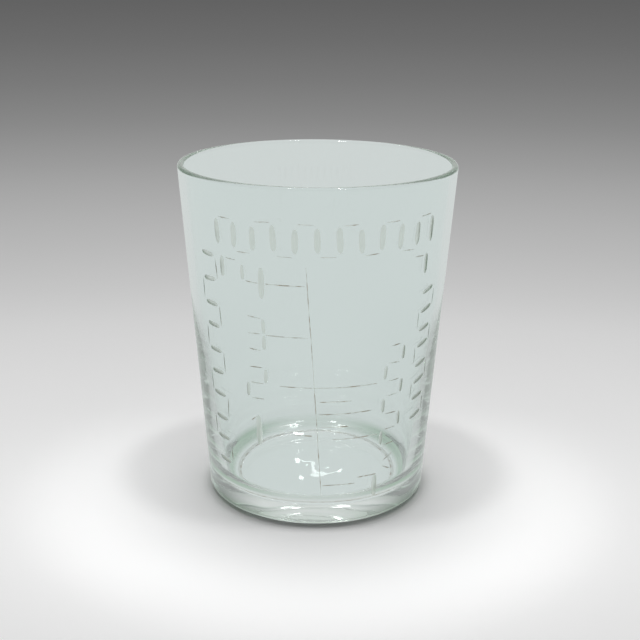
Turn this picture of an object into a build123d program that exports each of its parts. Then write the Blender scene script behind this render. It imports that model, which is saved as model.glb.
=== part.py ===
from build123d import *
import os
from math import atan, cos, degrees, radians, sin, tan

# Antique dose-measuring tumbler: one piece of clear glass, a plain tapering cup with a thick
# base, engraved on its front half by a small cutting wheel. The origin is the centre of the
# flat face it stands on, +Z runs up its axis, and the engraved front faces -Y.

# Driving dimensions of the cup, in mm
height = 63.5
rim_radius = 25.5
foot_radius = 20.8          # outer wall carried straight down to the table
rim_wall = 1.2
floor_height = 2.8          # top of the inner floor above the table
base_wall = 2.7             # wall thickness where the inner wall would meet the floor
wall_knee = 34.0            # below this height the wall thickens towards the base
knee_radius = 200.0
floor_corner_radius = 5.0
contact_radius = 17.0       # the glass stands on a flat ring between this radius
hollow_radius = 15.8        # and the rim of the hollow ground into the underside
foot_rise = 0.7             # the foot slopes up to this height at its outer edge
foot_edge_radius = 0.8
hollow_depth = 0.6

# The cutting wheel's two edges: a broad one for the leaf-shaped strokes, a fine one for lines
broad_depth = 0.20
broad_half_angle = 67.0
fine_depth = 0.08
fine_half_angle = 60.0

# Everything engraved is placed by its height above the table and by its angle round the glass,
# in degrees from the middle of the front, positive towards +X

# Graduations: (height, first angle, last angle). The long lines on the left mark whole doses,
# and the short ones on the right mark parts of a dose.
dose_lines = [(18.8, -10.2, -1.8), (28.1, -16.1, 27.5), (37.4, -21.8, -3.5), (46.7, -21.0, -4.8)]
part_lines = [(8.8, 3.0, 19.0), (9.9, 20.1, 30.1), (18.0, 7.5, 29.5), (20.5, 1.8, 14.6),
              (23.0, 1.1, 25.6), (25.4, 1.5, 15.7)]
numeral_angle = -27.0
numeral_height = 6.0
numeral_width = 3.6

# The long hand-cut line down the front runs straight between two points: (angle, height)
centre_top = (-4.4, 50.0)
centre_foot = (2.5, 6.4)
centre_end_depth = 0.05

# Border below the rim: uprights joined at the top and at the bottom in turn
border_low = 51.8
border_high = 57.3
border_first_angle = -43.0
border_pitch = 8.6
border_uprights = 12

slope = (rim_radius - foot_radius) / height
wall_tilt = atan(slope)


def outer_radius(z):
    return foot_radius + slope * z


def cup():
    """The plain cup, as one outline turned about the axis."""
    rim_z = height - rim_wall / 2
    floor_corner = (outer_radius(floor_height) - base_wall, floor_height)
    knee = (outer_radius(wall_knee) - rim_wall, wall_knee)
    outer_top = (outer_radius(rim_z), rim_z)
    inner_top = (outer_radius(rim_z) - rim_wall, rim_z)
    crest = (outer_radius(rim_z) - rim_wall / 2, height)
    foot_edge = (outer_radius(foot_rise), foot_rise)

    inside = FilletPolyline((0, floor_height), floor_corner, knee, inner_top,
                            radius=[floor_corner_radius, knee_radius])
    rim = ThreePointArc(inner_top, crest, outer_top)
    outside = FilletPolyline(outer_top, foot_edge, (contact_radius, 0), radius=[foot_edge_radius])
    contact = Line((contact_radius, 0), (hollow_radius, 0))
    hollow = TangentArc((0, hollow_depth), (hollow_radius, 0), tangent=(1, 0))
    axis = Line((0, hollow_depth), (0, floor_height))
    outline = make_face([inside, rim, outside, contact, hollow, axis])
    return revolve(Plane.XZ * outline, Axis.Z)


def wall_frame(angle, z):
    """A point on the outer wall, with its outward, uphill and rightward directions."""
    a = radians(angle)
    r = outer_radius(z)
    point = Vector(r * sin(a), -r * cos(a), z)
    outward = Vector(sin(a) * cos(wall_tilt), -cos(a) * cos(wall_tilt), -sin(wall_tilt))
    uphill = Vector(sin(a) * sin(wall_tilt), -cos(a) * sin(wall_tilt), cos(wall_tilt))
    rightward = Vector(cos(a), sin(a), 0)
    return point, outward, uphill, rightward


def stroke(angle, z, length, lean=0.0, broad=False):
    """One touch of the wheel: what its V edge removes. lean 0 is upright, 90 is level."""
    depth, half_angle = (broad_depth, broad_half_angle) if broad else (fine_depth, fine_half_angle)
    point, outward, uphill, rightward = wall_frame(angle, z)
    along = uphill * cos(radians(lean)) + rightward * sin(radians(lean))
    wall_curve = sin(radians(lean)) ** 2 / outer_radius(z)
    wheel_radius = 1 / (8 * depth / length ** 2 - wall_curve)
    centre = point + outward * (wheel_radius - depth)
    wheel = Plane(origin=centre, x_dir=-outward, z_dir=outward.cross(along))
    reach = 2.5 * depth
    half_width = reach * tan(radians(half_angle))
    edge = Polyline((wheel_radius, 0), (wheel_radius - reach, half_width),
                    (wheel_radius - reach, -half_width), close=True)
    swing = degrees(0.75 * length / wheel_radius)
    edge_face = Rot(0, 0, -swing) * (Plane.XZ * make_face(edge))
    return wheel * revolve(edge_face, Axis.Z, 2 * swing)


def level_line(start, end, z):
    """A fine line round the wall at one height, cut with the glass turning on its axis."""
    half_width = 2.5 * fine_depth * tan(radians(fine_half_angle))
    r = outer_radius(z)
    edge = Polyline((r - fine_depth, z), (r + 1.5 * fine_depth, z + half_width),
                    (r + 1.5 * fine_depth, z - half_width), close=True)
    return Rot(0, 0, start - 90) * revolve(Plane.XZ * make_face(edge), Axis.Z, end - start)


def degrees_across(distance, z):
    """The angle that a distance round the wall takes up at one height."""
    return degrees(distance / outer_radius(z))


def unevenness(i):
    """A hand cutter's small error, in mm, the same each time for one stroke."""
    return 0.22 * sin(2.4 * i + 0.7)


def graduations():
    return [level_line(start, end, z) for z, start, end in dose_lines + part_lines]


def centre_line():
    """The long line, a straight V groove: deeper midway, where the round wall stands proudest."""
    top, outward, _, _ = wall_frame(*centre_top)
    foot = wall_frame(*centre_foot)[0]
    reach = 4 * fine_depth
    half_width = reach * tan(radians(fine_half_angle))
    edge = Polyline((0, 0), (reach, half_width), (reach, -half_width), close=True)
    start = Plane(origin=foot - outward * centre_end_depth, x_dir=outward, z_dir=top - foot)
    return extrude(start * make_face(edge), (top - foot).length)


def numeral(figure, z):
    """A plain numeral built of strokes, level with its dose line."""
    quarter = numeral_height / 4
    side = degrees_across(numeral_width / 2, z)
    left, right = numeral_angle - side, numeral_angle + side
    bars = {1: "", 2: "tmb", 3: "tmb", 4: "m"}[figure]
    bar_height = {"t": 2 * quarter, "m": 0, "b": -2 * quarter}
    cuts = [stroke(numeral_angle, z + bar_height[b], 0.75 * numeral_width, 90) for b in bars]
    if figure == 1:
        cuts.append(stroke(numeral_angle, z, numeral_height, 0, True))
        cuts.append(stroke(numeral_angle - side / 2, z + 1.5 * quarter, 1.8, 50))
    if figure == 2:
        cuts.append(stroke(right, z + quarter, 1.8 * quarter, 0, True))
        cuts.append(stroke(left, z - quarter, 1.8 * quarter, 0, True))
    if figure == 3:
        cuts.append(stroke(right, z + quarter, 1.8 * quarter, 0, True))
        cuts.append(stroke(right, z - quarter, 1.8 * quarter, 0, True))
    if figure == 4:
        cuts.append(stroke(left, z + quarter, 1.8 * quarter, 0, True))
        cuts.append(stroke(right, z, 3.8 * quarter, 0, True))
    return cuts


def border():
    """The border under the rim, with a short drop at each end."""
    middle = (border_low + border_high) / 2
    cuts = []
    for i in range(border_uprights):
        angle = border_first_angle + i * border_pitch
        cuts.append(stroke(angle, middle + unevenness(i), 4.4 + unevenness(i + 5), 0, True))
        if i < border_uprights - 1:
            bar_z = border_high if i % 2 == 0 else border_low
            cuts.append(stroke(angle + border_pitch / 2, bar_z + unevenness(i + 9) / 2, 2.9, 90))
    last_angle = border_first_angle + (border_uprights - 1) * border_pitch
    for angle, inwards in [(border_first_angle, 1), (last_angle, -1)]:
        cuts.append(stroke(angle + 1.5 * inwards, 48.6, 3.8, 0, True))
        cuts.append(stroke(angle + 6.0 * inwards, 50.2, 2.4, 90))
    return cuts


def side_border(angle, half_width, top_z, pitch, rungs, broad_rungs, rung_lean=90):
    """The same border turned to run down the wall: level rungs joined at each side in turn.
    Either the rungs or the pieces that join them are the broad strokes."""
    cuts = []
    for i in range(rungs):
        z = top_z - i * pitch
        side = degrees_across(half_width, z)
        rung = 1.55 * half_width if broad_rungs else 1.4 * half_width
        cuts.append(stroke(angle, z + unevenness(i), rung, rung_lean, broad_rungs))
        if i < rungs - 1:
            edge = angle + side if i % 2 == 0 else angle - side
            length = (0.95 if broad_rungs else 0.85) * pitch
            cuts.append(stroke(edge, z - pitch / 2, length, 0, not broad_rungs))
    return cuts


def engraving():
    cuts = graduations() + [centre_line()] + border()
    for i, (z, _, _) in enumerate(dose_lines):
        cuts += numeral(i + 1, z)
    cuts += side_border(-50.5, 2.2, 50.0, 4.4, 10, True)
    cuts += side_border(54.0, 2.2, 43.3, 3.4, 8, True, 80)
    cuts += side_border(36.3, 1.9, 34.6, 3.2, 7, False)
    cuts.append(stroke(29.5, 7.6, 4.5, 0, True))
    for z, lean in [(12.8, 60), (10.6, 120)]:
        cuts.append(stroke(36.3, z, 2.6, lean))
    return cuts


os.makedirs("parts", exist_ok=True)
export_step(cup() - engraving(), "parts/glass_cup.step")
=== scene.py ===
import math
import random
import bpy
from mathutils import Matrix, Vector, noise


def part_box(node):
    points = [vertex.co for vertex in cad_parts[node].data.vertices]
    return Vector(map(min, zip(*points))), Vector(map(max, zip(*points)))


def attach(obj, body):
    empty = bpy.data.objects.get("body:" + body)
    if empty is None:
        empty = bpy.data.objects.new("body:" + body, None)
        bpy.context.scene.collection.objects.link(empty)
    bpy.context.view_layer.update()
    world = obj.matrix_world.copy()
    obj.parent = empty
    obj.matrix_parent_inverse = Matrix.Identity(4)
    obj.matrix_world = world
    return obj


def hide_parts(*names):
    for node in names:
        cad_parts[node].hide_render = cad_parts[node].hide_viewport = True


# Antique dose-measuring tumbler in clear glass, with real wheel-cut grooves, on a pale studio
# floor. Sizes are in mm unless a name says otherwise, and MM turns them into metres.

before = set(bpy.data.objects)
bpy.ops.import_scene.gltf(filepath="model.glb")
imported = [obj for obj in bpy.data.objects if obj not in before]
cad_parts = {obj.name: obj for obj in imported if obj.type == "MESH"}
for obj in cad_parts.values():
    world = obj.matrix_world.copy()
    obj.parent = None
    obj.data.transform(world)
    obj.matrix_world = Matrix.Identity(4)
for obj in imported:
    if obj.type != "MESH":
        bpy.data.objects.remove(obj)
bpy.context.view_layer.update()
random.seed(7)
noise.seed_set(7)                   # without this the waves in the glass differ from run to run

# ---------------------------------------------------------------- sizes of the cup
low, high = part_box("glass_cup")
HEIGHT = 63.5
MM = (high.z - low.z) / HEIGHT
TAPER = 4.7 / HEIGHT
TILT = math.atan(TAPER)
RIM_WALL = 1.2
RIM_BASE = HEIGHT - RIM_WALL / 2    # where the straight wall ends and the round rim starts
RIM_RADIUS = (high.x - low.x) / 2 / MM + TAPER * RIM_WALL / 2
FOOT_RADIUS = RIM_RADIUS - TAPER * HEIGHT
FLOOR_HEIGHT = 2.8
FLOOR_CORNER_RADIUS = 5.0
BASE_WALL = 2.7
WALL_KNEE = 34.0                    # below this height the wall thickens towards the base
KNEE_RADIUS = 200.0
CONTACT_RADIUS = 17.0
HOLLOW_RADIUS = 15.8
HOLLOW_DEPTH = 0.6
FOOT_RISE = 0.7
FOOT_EDGE_RADIUS = 0.8
MEAN_RADIUS = 23                    # of the outer wall
AROUND = 320                        # faces round the cup
TOUCHING = 0.01                     # a point this near a surface counts as on it

# Painted contact shadow, and signs of hand work
CONTACT_SHADOW_WIDTH = 0.5                     # width of the thin ring of painted contact shadow at the inner edge of the contact ring
WAVE_FLOOR = 0.05
WAVE_WALL = 0.012
WAVE_LENGTH = 9
WAVE_LENGTH_UP = 30
WAVE_START = Vector((3.1, 0.4, 7.7))
WAVE_FADE = (3.0, 9.0)              # the floor's waves give way to the wall's between these heights

# Kinds of face, kept as material numbers until the cutting is done
CLEAR, GROUND, LINE = 0, 1, 2


def outer_radius(z):
    return FOOT_RADIUS + TAPER * z


# ---------------------------------------------------------------- the turned outline
def straight(a, b, steps):
    """The points between a and b, without either end."""
    return [(a[0] + (b[0] - a[0]) * i / steps, a[1] + (b[1] - a[1]) * i / steps)
            for i in range(1, steps)]


def rounded(a, b, c, radius, steps):
    """Points of the arc that rounds corner b between a and c."""
    a, b, c = Vector(a), Vector(b), Vector(c)
    u, v = (a - b).normalized(), (c - b).normalized()
    half = u.angle(v) / 2
    centre = b + (u + v).normalized() * radius / math.sin(half)
    first = b + u * radius / math.tan(half) - centre
    last = b + v * radius / math.tan(half) - centre
    turn = first.angle(last)
    arc = []
    for i in range(steps + 1):
        t = i / steps
        p = (first * math.sin((1 - t) * turn) + last * math.sin(t * turn)) / math.sin(turn)
        arc.append(tuple(centre + p))
    return arc


def half_round(middle, z, radius, steps):
    """The top of the rim, from the outer wall over to the inner wall."""
    turns = [math.pi * i / steps for i in range(steps + 1)]
    return [(middle + radius * math.cos(a), z + radius * math.sin(a)) for a in turns]


def outline():
    """(radius, height) from the middle of the underside, up the outside, to the inner floor."""
    contact = (CONTACT_RADIUS, 0.0)
    foot_edge = (outer_radius(FOOT_RISE), FOOT_RISE)
    outer_top = (outer_radius(RIM_BASE), RIM_BASE)
    inner_top = (outer_top[0] - RIM_WALL, RIM_BASE)
    knee = (outer_radius(WALL_KNEE) - RIM_WALL, WALL_KNEE)
    corner = (outer_radius(FLOOR_HEIGHT) - BASE_WALL, FLOOR_HEIGHT)
    floor_middle = (0.0, FLOOR_HEIGHT)

    rings = 14
    points = [(HOLLOW_RADIUS * i / rings, HOLLOW_DEPTH * (1 - (i / rings) ** 2)) for i in range(rings)]
    points += [(HOLLOW_RADIUS, 0.0), (HOLLOW_RADIUS + CONTACT_SHADOW_WIDTH, 0.0), contact]
    foot = rounded(contact, foot_edge, outer_top, FOOT_EDGE_RADIUS, 8)
    points += straight(contact, foot[0], 4) + foot
    points += straight(foot[-1], outer_top, 12)
    points += half_round((outer_top[0] + inner_top[0]) / 2, RIM_BASE, RIM_WALL / 2, 18)
    bend = rounded(inner_top, knee, corner, KNEE_RADIUS, 14)
    turn = rounded(knee, corner, floor_middle, FLOOR_CORNER_RADIUS, 22)
    # A ring close under the rim keeps the rim's shading from spreading down the wall
    under_rim = tuple(Vector(inner_top).lerp(Vector(bend[0]), 0.01))
    points += [under_rim] + straight(under_rim, bend[0], 10) + bend
    points += straight(bend[-1], turn[0], 4) + turn
    points += straight(turn[-1], floor_middle, 12) + [floor_middle]
    return points


def uneven(p):
    """How far the inside of hand-worked glass is off the true shape, at a point."""
    place = Vector((p.x / WAVE_LENGTH, p.y / WAVE_LENGTH, p.z / WAVE_LENGTH_UP))
    wave = noise.noise_vector(place + WAVE_START)
    full, gone = WAVE_FADE
    near_floor = min(1.0, max(0.0, (gone - p.z) / (gone - full)))
    return wave * (WAVE_WALL + (WAVE_FLOOR - WAVE_WALL) * near_floor)


def ring_faces(below, above):
    """The faces between two rings of vertices. Corners that share a vertex are joined."""
    faces = []
    for j in range(AROUND):
        k = (j + 1) % AROUND
        faces.append(list(dict.fromkeys((below[j], below[k], above[k], above[j]))))
    return faces


def lathe(name, points):
    """The outline turned about the axis. The straight outer wall stays true for the cutting."""
    rings, verts, faces = [], [], []
    for r, z in points:
        if r < 1e-6:
            rings.append([len(verts)] * AROUND)
            verts.append(Vector((0, 0, z)))
            continue
        rings.append(list(range(len(verts), len(verts) + AROUND)))
        for j in range(AROUND):
            a = 2 * math.pi * j / AROUND
            verts.append(Vector((r * math.sin(a), -r * math.cos(a), z)))
    for below, above in zip(rings[:-1], rings[1:]):
        faces += ring_faces(below, above)
    for v in verts:
        on_wall = abs(Vector((v.x, v.y)).length - outer_radius(v.z)) < TOUCHING
        on_table = v.z < TOUCHING
        if not (on_wall or on_table):
            v += uneven(v)
    mesh = bpy.data.meshes.new(name)
    mesh.from_pydata([v * MM for v in verts], [], faces)
    for p in mesh.polygons:
        middle = p.center / MM
        # Underneath: ground glass, and a thin ring of painted contact shadow round the hollow
        if abs(middle.z) < 0.001:
            in_contact_shadow = math.hypot(middle.x, middle.y) < HOLLOW_RADIUS + CONTACT_SHADOW_WIDTH
            p.material_index = LINE if in_contact_shadow else GROUND
    return mesh


# ---------------------------------------------------------------- the cutting wheel
FINE = dict(depth=0.06, half_width=0.11, power=1.2, taper=2)
BROAD = dict(depth=0.16, half_width=0.56, power=1.8, taper=4)
LEVEL_DEPTH = 0.06
CENTRE_DEPTH = 0.05
LINE_SHAPE = 1.9                    # half the width of a long line over its depth
LINE_STEP = 0.6
LINE_TREMOR = 0.12                  # how fast a long line wanders, per step
LINE_PRESS = 0.35                   # and how fast the pressure on it changes
UNSTEADY = 0.05                     # share by which each step of a stroke is off
OVERRUN = 1.16                      # a stroke's path runs on past its ends, out of the glass
NARROWEST = 0.13                    # half the width of a very short stroke over its length
CUT_SPREAD = 1.35                   # each cut is made this much wider than its furrow
CUT_TOP = 0.35                      # and stands this far off the wall
cuts = {"broad": [], "fine": [], "level": [], "centre": []}


def wall_point(angle, z, rise):
    """A point standing a little off the outer wall."""
    a = math.radians(angle)
    r = outer_radius(z) + rise * math.cos(TILT)
    return Vector((r * math.sin(a), -r * math.cos(a), z - rise * math.sin(TILT)))


def furrow_verts(path, widths, depths, power, steps):
    """Pairs of points, the furrow's surface and its lid, row after row along the path."""
    verts = []
    for i, (angle, z) in enumerate(path):
        before, after = path[max(i - 1, 0)], path[min(i + 1, len(path) - 1)]
        along = Vector((math.radians(after[0] - before[0]) * outer_radius(z), after[1] - before[1]))
        across = Vector((along.y, -along.x)).normalized()
        for j in range(steps + 1):
            u = CUT_SPREAD * (2 * j / steps - 1)
            side = u * widths[i]
            rise = min(-depths[i] + abs(u) ** power * max(depths), CUT_TOP * 0.8)
            place = (angle + math.degrees(across.x * side / outer_radius(z)), z + across.y * side)
            verts.append(wall_point(*place, rise))
            verts.append(wall_point(*place, CUT_TOP))
    return verts


def furrow(layer, path, widths, depths, power, kind, steps=8):
    """What one pass of the wheel removes: a closed solid along a path of (angle, z) points."""
    faces = []
    row = 2 * (steps + 1)
    last = row * (len(path) - 1)
    for i in range(len(path) - 1):
        for j in range(steps):
            p = i * row + 2 * j
            faces.append((p, p + row, p + row + 2, p + 2))
            faces.append((p + 1, p + 3, p + row + 3, p + row + 1))
        near = i * row
        faces.append((near, near + 1, near + row + 1, near + row))
        far = near + row - 2
        faces.append((far, far + row, far + row + 1, far + 1))
    for p in range(0, 2 * steps, 2):
        faces.append((p, p + 2, p + 3, p + 1))
        faces.append((last + p, last + p + 1, last + p + 3, last + p + 2))
    cuts[layer].append((furrow_verts(path, widths, depths, power, steps), faces, kind))


def stroke(angle, z, length, lean=0.0, broad=False):
    """One touch of the wheel, deepest in the middle. lean 0 is upright, 90 is level."""
    edge = BROAD if broad else FINE
    lean = math.radians(lean + random.uniform(-4.0, 4.0))
    depth = edge["depth"] * random.uniform(0.85, 1.1)
    steps = 16
    path, depths, widths = [], [], []
    for i in range(steps + 1):
        s = OVERRUN * (i / steps - 0.5) * length
        sideways = math.degrees(s * math.sin(lean) / outer_radius(z))
        path.append((angle + sideways, z + s * math.cos(lean)))
        rough = random.uniform(-UNSTEADY, UNSTEADY) * depth
        depths.append(depth * (1 - abs(2 * s / length) ** edge["taper"]) + rough)
        half_width = min(edge["half_width"], NARROWEST * length)
        widths.append(half_width * (1 + random.uniform(-UNSTEADY, UNSTEADY)))
    furrow("broad" if broad else "fine", path, widths, depths, edge["power"], GROUND if broad else LINE)


def long_line(first, last, depth, wander=0.05):
    """A fine line between two (angle, z) points, scratched with an unsteady pressure."""
    rise = last[1] - first[1]
    upright = abs(rise) > 1
    length = math.hypot(math.radians(last[0] - first[0]) * MEAN_RADIUS, rise)
    steps = max(12, int(length / LINE_STEP))
    path, depths, widths = [], [], []
    for i in range(steps + 1):
        t = i / steps
        angle = first[0] + (last[0] - first[0]) * t
        z = first[1] + rise * t
        off = wander * noise.noise(Vector((t * steps * LINE_TREMOR, first[0], first[1])))
        if upright:
            path.append((angle + math.degrees(off / outer_radius(z)), z))
        else:
            path.append((angle, z + off))
        ends = min(1.0, 12 * t, 12 * (1 - t))
        press = 0.85 + 0.5 * noise.noise(Vector((t * steps * LINE_PRESS, first[1], 2.0)))
        depths.append(depth * press * (0.4 + 0.6 * ends))
        widths.append(depth * LINE_SHAPE)
    furrow("centre" if upright else "level", path, widths, depths, 1.0, LINE, 4)


# ---------------------------------------------------------------- what is engraved
# Everything is placed by its height above the table and by its angle round the glass, in
# degrees from the middle of the front, positive towards +X.
DOSE_LINES = [(18.8, -10.2, -1.8), (28.1, -16.1, 27.5), (37.4, -21.8, -3.5), (46.7, -21.0, -4.8)]
PART_LINES = [(8.8, 3.0, 19.0), (9.9, 20.1, 30.1), (18.0, 7.5, 29.5), (20.5, 1.8, 14.6),
              (23.0, 1.1, 25.6), (25.4, 1.5, 15.7)]
CENTRE_TOP = (-4.4, 50.0)
CENTRE_FOOT = (2.5, 6.4)
NUMERAL_ANGLE = -27.0
NUMERAL_HEIGHT = 6.0
NUMERAL_WIDTH = 3.6
BORDER_LOW = 51.8
BORDER_HIGH = 57.3
BORDER_FIRST_ANGLE = -43.0
BORDER_PITCH = 8.6
BORDER_UPRIGHTS = 12


def degrees_across(distance, z):
    """The angle that a distance round the wall takes up at one height."""
    return math.degrees(distance / outer_radius(z))


def unevenness(i):
    """A hand cutter's small error, the same each time for one stroke."""
    return 0.22 * math.sin(2.4 * i + 0.7)


def numeral(figure, z):
    """A plain numeral built of strokes, level with its dose line."""
    quarter = NUMERAL_HEIGHT / 4
    side = degrees_across(NUMERAL_WIDTH / 2, z)
    left, right = NUMERAL_ANGLE - side, NUMERAL_ANGLE + side
    for bar in {1: (), 2: (2, 0, -2), 3: (2, 0, -2), 4: (0,)}[figure]:
        stroke(NUMERAL_ANGLE, z + bar * quarter, 0.75 * NUMERAL_WIDTH, 90)
    uprights = {1: (),
                2: ((right, 1, 1.8), (left, -1, 1.8)),
                3: ((right, 1, 1.8), (right, -1, 1.8)),
                4: ((left, 1, 1.8), (right, 0, 3.8))}[figure]
    for angle, up, length in uprights:
        stroke(angle, z + up * quarter, length * quarter, 0, True)
    if figure == 1:
        stroke(NUMERAL_ANGLE, z, NUMERAL_HEIGHT, 0, True)
        stroke(NUMERAL_ANGLE - side / 2, z + 1.5 * quarter, 1.8, 50)


def border():
    """The border under the rim, with a short drop at each end."""
    middle = (BORDER_LOW + BORDER_HIGH) / 2
    for i in range(BORDER_UPRIGHTS):
        angle = BORDER_FIRST_ANGLE + i * BORDER_PITCH
        stroke(angle, middle + unevenness(i), 4.4 + unevenness(i + 5), 0, True)
        if i < BORDER_UPRIGHTS - 1:
            bar_z = BORDER_HIGH if i % 2 == 0 else BORDER_LOW
            stroke(angle + BORDER_PITCH / 2, bar_z + unevenness(i + 9) / 2, 2.9, 90)
    last_angle = BORDER_FIRST_ANGLE + (BORDER_UPRIGHTS - 1) * BORDER_PITCH
    for angle, inwards in ((BORDER_FIRST_ANGLE, 1), (last_angle, -1)):
        stroke(angle + 1.5 * inwards, 48.6, 3.8, 0, True)
        stroke(angle + 6.0 * inwards, 50.2, 2.4, 90)


def side_border(angle, half_width, top_z, pitch, rungs, broad_rungs, rung_lean=90):
    """The same border turned to run down the wall: level rungs joined at each side in turn."""
    for i in range(rungs):
        z = top_z - i * pitch
        side = degrees_across(half_width, z)
        rung = 1.55 * half_width if broad_rungs else 1.4 * half_width
        stroke(angle, z + unevenness(i), rung, rung_lean, broad_rungs)
        if i < rungs - 1:
            edge = angle + side if i % 2 == 0 else angle - side
            length = (0.95 if broad_rungs else 0.85) * pitch
            stroke(edge, z - pitch / 2, length, 0, not broad_rungs)


def draw_engraving():
    for z, start, end in DOSE_LINES + PART_LINES:
        long_line((start, z), (end, z), LEVEL_DEPTH)
    long_line(CENTRE_TOP, CENTRE_FOOT, CENTRE_DEPTH)
    border()
    for i, (z, _, _) in enumerate(DOSE_LINES):
        numeral(i + 1, z)
    side_border(-50.5, 2.2, 50.0, 4.4, 10, True)
    side_border(54.0, 2.2, 43.3, 3.4, 8, True, 80)
    side_border(36.3, 1.9, 34.6, 3.2, 7, False)
    stroke(29.5, 7.6, 4.5, 0, True)
    for z, lean in ((12.8, 60), (10.6, 120)):
        stroke(36.3, z, 2.6, lean)


# ---------------------------------------------------------------- short ways to add nodes
class Graph:
    """The nodes of one material or of the world."""

    def __init__(self, tree):
        self.nodes = tree.nodes
        self.links = tree.links

    def feed(self, socket, value):
        """value is a number, a tuple or another node's output. A colour may leave out its 1."""
        if isinstance(value, (int, float)):
            socket.default_value = value
        elif isinstance(value, tuple):
            socket.default_value = (*value, 1) if socket.type == "RGBA" else value
        else:
            self.links.new(value, socket)

    def math(self, operation, a, b=0.0):
        node = self.nodes.new("ShaderNodeMath")
        node.operation = operation
        self.feed(node.inputs[0], a)
        self.feed(node.inputs[1], b)
        return node.outputs[0]

    def vector_math(self, operation, a, b=(0.0, 0.0, 0.0)):
        node = self.nodes.new("ShaderNodeVectorMath")
        node.operation = operation
        self.feed(node.inputs[0], a)
        self.feed(node.inputs[1], b)
        gives_number = operation in ("LENGTH", "DISTANCE", "DOT_PRODUCT")
        return node.outputs["Value" if gives_number else "Vector"]

    def split(self, vector):
        node = self.nodes.new("ShaderNodeSeparateXYZ")
        self.links.new(vector, node.inputs[0])
        return node.outputs["X"], node.outputs["Y"], node.outputs["Z"]

    def remap(self, value, low_in, high_in, low_out=0.0, high_out=1.0):
        node = self.nodes.new("ShaderNodeMapRange")
        for i, v in enumerate((low_in, high_in, low_out, high_out)):
            node.inputs[i + 1].default_value = v
        self.links.new(value, node.inputs["Value"])
        return node.outputs["Result"]

    def blend(self, factor, a, b, data_type="RGBA", blend_type="MIX"):
        """a where factor is 0, b where it is 1."""
        node = self.nodes.new("ShaderNodeMix")
        node.data_type = data_type
        node.blend_type = blend_type
        self.feed(node.inputs["Factor"], factor)
        self.feed(node.inputs["A"], a)
        self.feed(node.inputs["B"], b)
        return node.outputs["Result"]

    def ramp(self, value, stops):
        """stops: (position, grey) with positions rising."""
        node = self.nodes.new("ShaderNodeValToRGB")
        node.color_ramp.interpolation = "B_SPLINE"
        elements = node.color_ramp.elements
        while len(elements) < len(stops):
            elements.new(0.5)
        for element, (position, grey) in zip(elements, stops):
            element.position = position
            element.color = (grey, grey, grey, 1)
        self.links.new(value, node.inputs["Fac"])
        return node.outputs["Color"]

    def grain(self, scale, detail=3.0):
        node = self.nodes.new("ShaderNodeTexNoise")
        node.inputs["Scale"].default_value = scale
        node.inputs["Detail"].default_value = detail
        self.links.new(self.nodes.new("ShaderNodeTexCoord").outputs["Object"], node.inputs["Vector"])
        return node.outputs["Fac"]

    def mark(self, name):
        """A value stored on each face of the glass."""
        node = self.nodes.new("ShaderNodeAttribute")
        node.attribute_name = name
        return node.outputs["Fac"]

    def camera_ray(self):
        return self.nodes.new("ShaderNodeLightPath").outputs["Is Camera Ray"]


# ---------------------------------------------------------------- the glass material
CLEAR_TINT = (0.95, 0.985, 0.98)
GROUND_TINT = (0.86, 0.89, 0.82)
# Grime in the fine cut lines; the same colour paints the contact shadow on a thin ring under the foot
GRIME_AND_CONTACT_SHADOW = (0.26, 0.20, 0.14)
CLEAR_HAZE = (0.0, 0.02)            # roughness of polished glass, least and most
GROUND_HAZE = (0.30, 0.50)
GLASS_IOR = 1.52
RIPPLE_M = 0.00002
GRAIN_RANGE = (0.35, 0.75)          # what most of the grain lies between
HAZE_GRAIN = 140.0                  # grains per metre
GRIT_GRAIN = 900.0
RIPPLE_GRAIN = 90.0
GRIME_AND_SHADOW_GRAIN = 700.0
GRIME_AND_SHADOW_RANGE = (0.42, 0.60)
ABSORB_COLOUR = (0.66, 0.86, 0.70)
ABSORB_DENSITY = 3.0

# The wall seen edge-on looks greener and darker, all the more so low down where it is thick
EDGE_TINT = (0.79, 0.88, 0.83)
EDGE_ON = (0.50, 0.92)
EDGE_HEIGHT_M = (0.010, 0.030)

# Green round the foot, where the glass is thickest, darkened with painted shade, most on the two sides
FOOT_GREEN_AND_SHADE = (0.32, 0.48, 0.34)
FOOT_INSET_M = (0.0172, 0.0190)
FOOT_BAND_M = (0.0015, 0.0035)
FOOT_SIDES_M = (0.006, 0.016)
FOOT_MIDDLE = 0.35


def edge_share(graph, z):
    """1 where the low part of the wall is seen edge-on, 0 where the glass faces the viewer."""
    facing = graph.nodes.new("ShaderNodeLayerWeight")
    facing.inputs["Blend"].default_value = 0.5
    edge_on = graph.remap(facing.outputs["Facing"], *EDGE_ON)
    return graph.math("MULTIPLY", edge_on, graph.remap(z, *EDGE_HEIGHT_M, 1.0, 0.0))


def foot_green_and_shade(graph, x, y, z):
    """Up to 1 round the outside of the foot, and 0 elsewhere. The green holds painted shade, so it is
    strongest on the two sides of the foot and weaker at the front and back."""
    radius = graph.math("SQRT", graph.math("ADD", graph.math("MULTIPLY", x, x),
                                           graph.math("MULTIPLY", y, y)))
    outer = graph.remap(radius, *FOOT_INSET_M)
    lower = graph.remap(z, *FOOT_BAND_M, 1.0, 0.0)
    sides = graph.remap(graph.math("ABSOLUTE", x), *FOOT_SIDES_M, FOOT_MIDDLE, 1.0)
    return graph.math("MULTIPLY", graph.math("MULTIPLY", outer, lower), sides)


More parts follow.
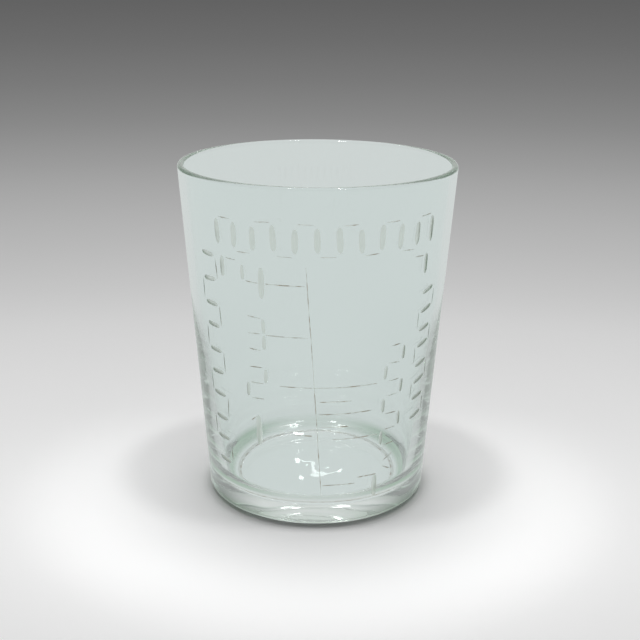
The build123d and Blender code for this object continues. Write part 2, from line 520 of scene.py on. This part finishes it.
def glass_material():
    """One clear glass. Faces marked ground are matt. Faces marked line hold grime in the cut lines
    and painted contact shadow on a thin ring under the foot.
    """
    material = bpy.data.materials.new("clear_glass")
    material.use_nodes = True
    graph = Graph(material.node_tree)
    shader = graph.nodes["Principled BSDF"]
    shader.inputs["Transmission Weight"].default_value = 1.0
    shader.inputs["IOR"].default_value = GLASS_IOR
    ground, line = graph.mark("ground"), graph.mark("line")

    haze = graph.remap(graph.grain(HAZE_GRAIN), *GRAIN_RANGE, *CLEAR_HAZE)
    grit = graph.remap(graph.grain(GRIT_GRAIN), *GRAIN_RANGE, *GROUND_HAZE)
    graph.feed(shader.inputs["Roughness"], graph.blend(ground, haze, grit, "FLOAT"))

    x, y, z = graph.split(graph.nodes.new("ShaderNodeTexCoord").outputs["Object"])
    patches = graph.remap(graph.grain(GRIME_AND_SHADOW_GRAIN, 2.0), *GRIME_AND_SHADOW_RANGE)
    tint = graph.blend(edge_share(graph, z), CLEAR_TINT, EDGE_TINT)
    # green and painted shade round the foot, strongest on the two sides
    tint = graph.blend(foot_green_and_shade(graph, x, y, z), tint, FOOT_GREEN_AND_SHADE)
    tint = graph.blend(ground, tint, GROUND_TINT)
    # Patches of grime in the fine cut lines, and of painted contact shadow on the ring under the foot
    tint = graph.blend(line, tint, graph.blend(patches, GROUND_TINT, GRIME_AND_CONTACT_SHADOW))
    graph.feed(shader.inputs["Base Color"], tint)

    bump = graph.nodes.new("ShaderNodeBump")
    bump.inputs["Strength"].default_value = 1.0
    bump.inputs["Distance"].default_value = RIPPLE_M
    graph.feed(bump.inputs["Height"], graph.grain(RIPPLE_GRAIN))
    graph.feed(shader.inputs["Normal"], bump.outputs["Normal"])

    inside = graph.nodes.new("ShaderNodeVolumeAbsorption")
    inside.inputs["Color"].default_value = (*ABSORB_COLOUR, 1)
    inside.inputs["Density"].default_value = ABSORB_DENSITY
    graph.feed(graph.nodes["Material Output"].inputs["Volume"], inside.outputs["Volume"])
    return material


# ---------------------------------------------------------------- the glass itself
def cutting_tool(layer, kinds):
    """One object holding every cut of a layer."""
    verts, faces, slots = [], [], []
    for cut_verts, cut_faces, kind in layer:
        start = len(verts)
        verts += [v * MM for v in cut_verts]
        faces += [tuple(start + i for i in f) for f in cut_faces]
        slots += [kind] * len(cut_faces)
    mesh = bpy.data.meshes.new("wheel_cuts")
    mesh.from_pydata(verts, [], faces)
    for m in kinds:
        mesh.materials.append(m)
    mesh.polygons.foreach_set("material_index", slots)
    tool = bpy.data.objects.new("wheel_cuts", mesh)
    bpy.context.scene.collection.objects.link(tool)
    return tool


def engrave(body, tool):
    boolean = body.modifiers.new("engrave", "BOOLEAN")
    boolean.object = tool
    boolean.operation = "DIFFERENCE"
    boolean.solver = "EXACT"
    boolean.material_mode = "INDEX"
    depsgraph = bpy.context.evaluated_depsgraph_get()
    cut = bpy.data.meshes.new_from_object(body.evaluated_get(depsgraph))
    body.modifiers.clear()
    body.data = cut
    bpy.data.objects.remove(tool)


WALL_START = 1.6                    # the straight wall starts above the rounded edge of the foot
UNCUT = 0.004                       # and a point of it no further off than this has not been cut


def smooth_normals(mesh):
    """True cone normals on the straight wall, sharp edges round each cut, smooth elsewhere."""
    mesh.polygons.foreach_set("use_smooth", [True] * len(mesh.polygons))
    sides = {}
    for p in mesh.polygons:
        for key in p.edge_keys:
            sides.setdefault(key, set()).add(p.material_index == CLEAR)
    for e in mesh.edges:
        e.use_edge_sharp = len(sides.get(tuple(sorted(e.vertices)), ())) > 1
    mesh.update()
    normals = [Vector(n.vector) for n in mesh.corner_normals]
    for p in mesh.polygons:
        if p.material_index != CLEAR:
            continue
        for corner in p.loop_indices:
            v = mesh.vertices[mesh.loops[corner].vertex_index].co / MM
            r = math.hypot(v.x, v.y)
            if WALL_START < v.z < RIM_BASE + TOUCHING and abs(r - outer_radius(v.z)) < UNCUT:
                out = Vector((v.x / r, v.y / r, 0)) * math.cos(TILT)
                normals[corner] = out - Vector((0, 0, math.sin(TILT)))
    mesh.normals_split_custom_set(normals)


def mark_faces(mesh):
    """Turns the kinds of face into values that the one glass material reads."""
    kinds = [p.material_index for p in mesh.polygons]
    marks = {"ground": [float(k != CLEAR) for k in kinds], "line": [float(k == LINE) for k in kinds]}
    for name, values in marks.items():
        mesh.attributes.new(name, "FLOAT", "FACE").data.foreach_set("value", values)
    mesh.materials.clear()
    mesh.materials.append(glass_material())
    mesh.polygons.foreach_set("material_index", [0] * len(kinds))


def build_glass():
    kinds = [bpy.data.materials.new("kind_" + name) for name in ("clear", "ground", "line")]
    body = bpy.data.objects.new("engraved_glass", lathe("engraved_glass", outline()))
    bpy.context.scene.collection.objects.link(body)
    for m in kinds:
        body.data.materials.append(m)
    for layer in cuts.values():
        engrave(body, cutting_tool(layer, kinds))
    smooth_normals(body.data)
    mark_faces(body.data)
    for m in kinds:
        bpy.data.materials.remove(m)
    return body


# ---------------------------------------------------------------- the floor
# The camera sees a lit floor with painted light: paler round the glass, a painted contact shadow
# under the foot, and painted shade that makes it darker far away. Rays that come through the glass
# see an evenly glowing one, so the glass doesn't take on the grey of the backdrop.
FLOOR_REACH_M = 12.0
FLOOR_GAP_M = 0.00003
FADE_FROM_M = (0, -0.25, 0)
FLOOR_LIGHT = 0.62                  # brightness of a white floor under these lights
FRONT_M = (0.035, -0.035)           # the pool of light fades out behind the glass
BEHIND_SHARE = 0.1
FLOOR_GLOW = (0.645, 0.672, 0.664)
SIDE_GLOW = (0.555, 0.58, 0.57)
SIDE_TURN = (0.55, 0.9)
SIDE_REACH_M = 0.2
POOL_REACH_M = 0.1
HALF = 0.5                          # a ramp holds nothing above 1, so the pool is kept at half


def floor_stop(distance, grey):
    """A grey, out of 255 as a screen shows it, at a distance in metres on a log scale."""
    return (math.log10(distance) + 1) / 2, ((grey / 255 + 0.055) / 1.055) ** 2.4


FLOOR_STOPS = [floor_stop(d, g) for d, g in (
    (0.17, 216), (0.20, 220), (0.25, 223), (0.29, 217), (0.35, 203), (0.39, 191), (0.445, 179),
    (0.515, 168), (0.61, 153), (0.765, 133), (1.01, 121), (1.53, 110), (2.95, 109), (9.0, 107))]
# Distance from the axis in mm, with a brightness and then with a share of the side patches.
# The brightnesses paint a pool of light round the glass and a contact shadow under its foot.
POOL_STOPS = [(r / 100, HALF * g) for r, g in (
    (0, 0.3), (20.6, 0.3), (21.8, 0.8), (23, 1.06), (28, 1.14), (36, 1.28), (44, 1.39), (52, 1.30),
    (60, 1.10), (72, 1.0))]
SIDE_STOPS = [(r / 200, share) for r, share in (
    (0, 0), (30, 0), (50, 0.6), (70, 1), (85, 1), (110, 0.5), (150, 0))]


def floor_paint(graph, position, from_axis, y):
    """The floor as the camera sees it, with painted light: paler round the glass, a painted contact
    shadow under the foot, and fading with distance.
    """
    distance = graph.vector_math("DISTANCE", position, FADE_FROM_M)
    shade = graph.ramp(graph.remap(graph.math("LOGARITHM", distance, 10.0), -1.0, 1.0), FLOOR_STOPS)
    pool = graph.ramp(graph.remap(from_axis, 0.0, POOL_REACH_M), POOL_STOPS)
    front = graph.remap(y, *FRONT_M, BEHIND_SHARE, 1.0)
    lit = graph.blend(front, (HALF, HALF, HALF), pool)
    paint = graph.blend(1.0, shade, lit, blend_type="MULTIPLY")
    scale = graph.nodes.new("ShaderNodeVectorMath")
    scale.operation = "SCALE"
    scale.inputs["Scale"].default_value = 1 / HALF / FLOOR_LIGHT
    graph.feed(scale.inputs[0], paint)
    diffuse = graph.nodes.new("ShaderNodeBsdfDiffuse")
    graph.feed(diffuse.inputs["Color"], scale.outputs["Vector"])
    return diffuse.outputs["BSDF"]


def floor_glow(graph, from_axis, x):
    """The floor as the glass sees it: even, with a darker patch at each side."""
    sideways = graph.math("ABSOLUTE", graph.math("DIVIDE", x, from_axis))
    near = graph.ramp(graph.remap(from_axis, 0.0, SIDE_REACH_M), SIDE_STOPS)
    beside = graph.math("MULTIPLY", near, graph.remap(sideways, *SIDE_TURN))
    glow = graph.nodes.new("ShaderNodeEmission")
    graph.feed(glow.inputs["Color"], graph.blend(beside, FLOOR_GLOW, SIDE_GLOW))
    return glow.outputs["Emission"]


def floor_material():
    material = bpy.data.materials.new("studio_floor")
    material.use_nodes = True
    graph = Graph(material.node_tree)
    graph.nodes.remove(graph.nodes["Principled BSDF"])
    position = graph.nodes.new("ShaderNodeNewGeometry").outputs["Position"]
    from_axis = graph.vector_math("LENGTH", position)
    x, y, _ = graph.split(position)
    seen = graph.nodes.new("ShaderNodeMixShader")
    graph.feed(seen.inputs["Fac"], graph.camera_ray())
    graph.feed(seen.inputs[1], floor_glow(graph, from_axis, x))
    graph.feed(seen.inputs[2], floor_paint(graph, position, from_axis, y))
    graph.feed(graph.nodes["Material Output"].inputs["Surface"], seen.outputs["Shader"])
    material.cycles.emission_sampling = "NONE"
    return material


def build_floor():
    mesh = bpy.data.meshes.new("studio_floor")
    reach = FLOOR_REACH_M
    corners = [(-reach, -reach, 0), (reach, -reach, 0), (reach, reach, 0), (-reach, reach, 0)]
    mesh.from_pydata(corners, [], [(0, 1, 2, 3)])
    mesh.materials.append(floor_material())
    floor = bpy.data.objects.new("studio_floor", mesh)
    floor.location.z = low.z - FLOOR_GAP_M
    bpy.context.scene.collection.objects.link(floor)


# ---------------------------------------------------------------- surroundings, lights, camera
PANEL_TOWARDS = (0.0, 0.8, 0.6)     # a soft bright panel stands behind and above the glass
PANEL_TURN = (-0.1, 0.5)
PANEL_SIDES = (0.3, 0.7)
WORLD_DARK = 0.28
WORLD_BRIGHT = 0.72
WORLD_SEEN = 0.125                  # what the camera sees past the end of the floor
CAMERA_PLACE_M = (0, -0.197334, 0.097945)
CAMERA_TURNS = (18.229, 0.1715, 0.4009)
CAMERA_LENS = 61.286

# name, place in metres, width, watts, height of the lamp
LIGHTS = [("key_left", (-0.45, -0.2, 2.3), 0.25, 5.5, 0.25),
          ("key_right", (0.45, -0.2, 2.3), 0.25, 5.5, 0.25),
          ("glint_left", (-0.08, 1.80, 0.886), 0.022, 0.008, 0.022),
          ("glint_right", (0.104, 1.796, 0.878), 0.022, 0.008, 0.022),
          ("glint_bar", (0.012, 1.80, 0.882), 0.18, 0.010, 0.006)]
LIGHTS_AIM_M = (0, 0, 0.03)


def build_world():
    world = bpy.data.worlds.new("studio")
    bpy.context.scene.world = world
    world.use_nodes = True
    graph = Graph(world.node_tree)
    direction = graph.nodes.new("ShaderNodeTexCoord").outputs["Generated"]
    x, _, _ = graph.split(direction)
    middle = graph.remap(graph.math("ABSOLUTE", x), *PANEL_SIDES, 1.0, 0.0)
    behind = graph.remap(graph.vector_math("DOT_PRODUCT", direction, PANEL_TOWARDS), *PANEL_TURN)
    panel = graph.math("MULTIPLY", middle, behind)
    light = graph.remap(panel, 0.0, 1.0, WORLD_DARK, WORLD_BRIGHT)
    seen = graph.blend(graph.camera_ray(), light, (WORLD_SEEN, WORLD_SEEN, WORLD_SEEN))
    graph.feed(graph.nodes["Background"].inputs["Color"], seen)


def area_light(name, place, width, power, tall):
    light = bpy.data.lights.new(name, "AREA")
    light.shape = "ELLIPSE"
    light.size = width
    light.size_y = tall
    light.energy = power
    lamp = bpy.data.objects.new(name, light)
    lamp.location = place
    lamp.visible_camera = False
    lamp.rotation_euler = (Vector(LIGHTS_AIM_M) - Vector(place)).to_track_quat("-Z", "Y").to_euler()
    bpy.context.scene.collection.objects.link(lamp)


def build_camera():
    pitch, yaw, roll = (math.radians(turn) for turn in CAMERA_TURNS)
    level = Vector((math.sin(yaw), math.cos(yaw), 0))
    ahead = level * math.cos(pitch) - Vector((0, 0, math.sin(pitch)))
    right = Vector((math.cos(yaw), -math.sin(yaw), 0))
    up = right.cross(ahead)
    right, up = (math.cos(roll) * right + math.sin(roll) * up,
                 math.cos(roll) * up - math.sin(roll) * right)
    data = bpy.data.cameras.new("camera")
    data.sensor_width = 36.0
    data.lens = CAMERA_LENS
    data.clip_start = 0.01
    data.clip_end = 60.0
    camera = bpy.data.objects.new("camera", data)
    turn = Matrix((right, up, -ahead)).transposed().to_4x4()
    turn.translation = Vector(CAMERA_PLACE_M)
    camera.matrix_world = turn
    bpy.context.scene.collection.objects.link(camera)
    bpy.context.scene.camera = camera


def set_light_paths():
    """Light runs round inside the wall and the base many times before it leaves the glass."""
    scene = bpy.context.scene
    scene.view_settings.view_transform = "Standard"
    scene.cycles.max_bounces = 256
    scene.cycles.transmission_bounces = 256
    scene.cycles.glossy_bounces = 256
    scene.cycles.use_denoising = True
    scene.cycles.denoising_input_passes = "RGB_ALBEDO_NORMAL"


draw_engraving()
glass_piece = build_glass()
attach(glass_piece, "root")
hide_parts("glass_cup")

build_floor()
build_world()
for settings in LIGHTS:
    area_light(*settings)
build_camera()
set_light_paths()
